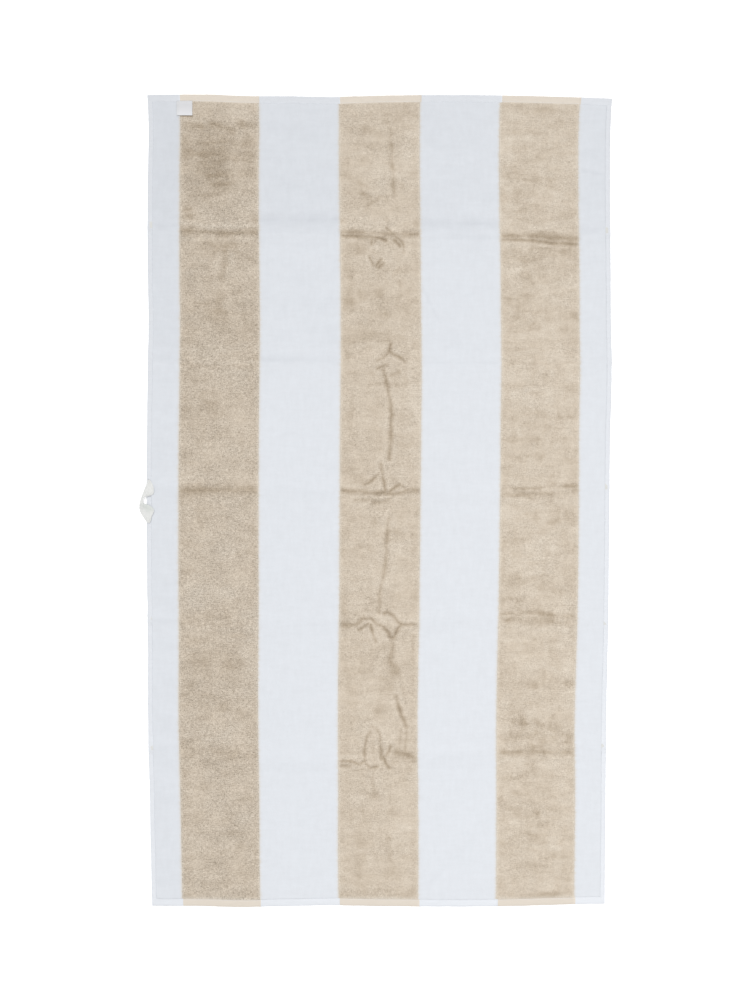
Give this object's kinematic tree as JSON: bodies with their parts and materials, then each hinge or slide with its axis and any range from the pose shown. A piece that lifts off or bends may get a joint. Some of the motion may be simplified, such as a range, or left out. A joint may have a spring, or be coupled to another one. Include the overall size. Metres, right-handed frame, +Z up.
{
  "type": "bath towel",
  "caption": "Striped terry bath towel lying flat, with turned hems, fold lines across it, a tape loop on one long edge and a blank care label.",
  "frame": {"origin": "middle of the base of the whole object's box, on the surface the towel lies on", "axes": "+Z up out of the cloth's face, +X across the width towards the edge without the loop, +Y along the length towards the end with the care label"},
  "size_m": [0.9336, 1.6038, 0.0156],
  "materials": {
    "white_terry": "matt cotton terry, cool white",
    "sand_terry": "matt cotton terry, sand beige",
    "white_tape": "matt woven cotton tape, warm white",
    "label_satin": "smooth woven satin, blank"
  },
  "bodies": {
    "root": {"towel": "white_terry", "hanging_loop": "white_tape", "care_label": "label_satin"}
  },
  "joints": []
}
